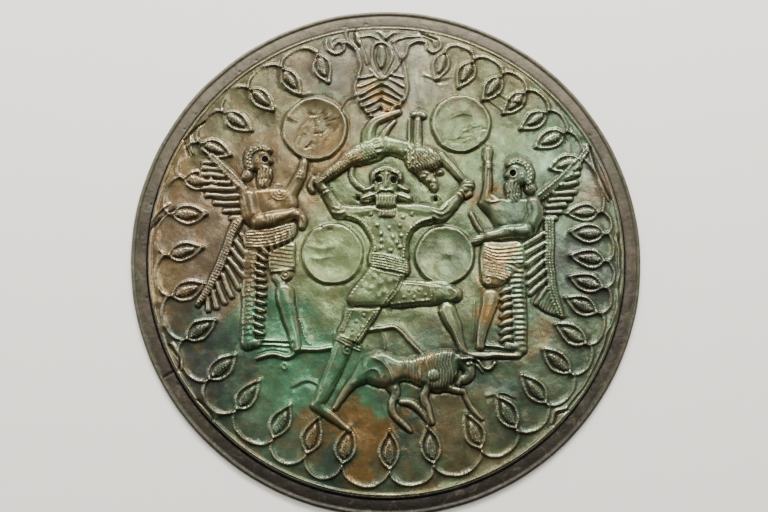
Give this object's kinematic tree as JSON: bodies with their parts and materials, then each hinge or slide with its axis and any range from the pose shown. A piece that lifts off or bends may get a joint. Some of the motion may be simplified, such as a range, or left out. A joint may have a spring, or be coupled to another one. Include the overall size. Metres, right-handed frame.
{
  "type": "round shield",
  "caption": "Round embossed bronze shield lying face up, a thin hammered sheet with figures, animals, discs and a bud border in relief, set in a flat band with a turned edge.",
  "frame": {"origin": "centre of the underside of the band, at the lowest height of the part", "axes": "+Z out of the embossed face, +Y towards the top of the picture on it, +X to the right of the picture"},
  "size_m": [0.55, 0.55, 0.0225],
  "materials": {
    "sheet_bronze": "hammered bronze with olive brown, pale green and ochre patina, worn brighter on the raised edges",
    "band_bronze": "dark purple brown bronze, smooth and slightly worn, with a few dull spots"
  },
  "bodies": {
    "root": {"embossed_sheet": "sheet_bronze", "rim_band": "band_bronze"}
  },
  "joints": []
}
